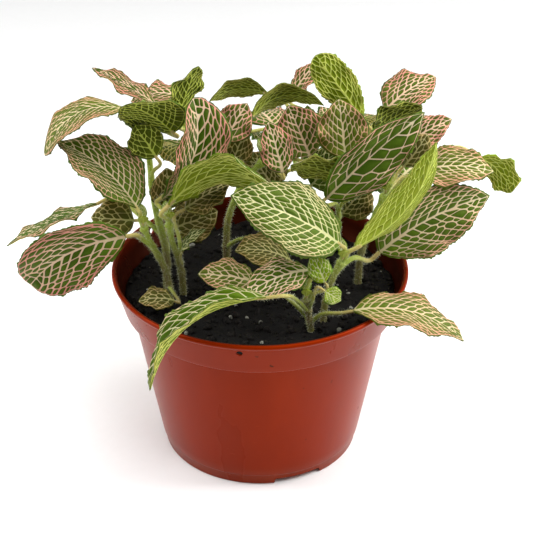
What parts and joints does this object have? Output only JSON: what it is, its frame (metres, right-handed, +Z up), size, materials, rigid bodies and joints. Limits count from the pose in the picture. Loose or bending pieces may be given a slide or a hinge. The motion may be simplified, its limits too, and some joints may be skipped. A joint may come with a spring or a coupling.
{
  "type": "potted nerve plant",
  "caption": "Nerve plant with net-veined pink and green leaves on low branching stems, growing in dark soil in a tapered terracotta-coloured plastic nursery pot.",
  "frame": {"origin": "centre of the flat boss under the pot's base, on the surface that the pot stands on", "axes": "+Z up out of the pot along its axis; +X to the right and +Y away from the viewer who faces the side with the big pale-veined leaf"},
  "size_m": [0.2053, 0.1557, 0.1616],
  "materials": {
    "pot_plastic": "smooth moulded plastic, soft gloss",
    "soil": "loose dark peat with a few pale grains",
    "foliage": "quilted green leaf with a pale pink vein net, satin"
  },
  "bodies": {
    "root": {"pot": "pot_plastic", "soil": "soil", "leafy_stem_left_front": "foliage", "leafy_stem_left_back": "foliage", "leafy_stem_left_inner": "foliage", "leafy_stem_back_left": "foliage", "leafy_stem_middle": "foliage", "leafy_stem_back_right": "foliage", "leafy_stem_right_back": "foliage", "leafy_stem_right": "foliage", "leafy_stem_right_front": "foliage", "leafy_stem_far_right": "foliage", "leafy_stem_back": "foliage"}
  },
  "joints": []
}
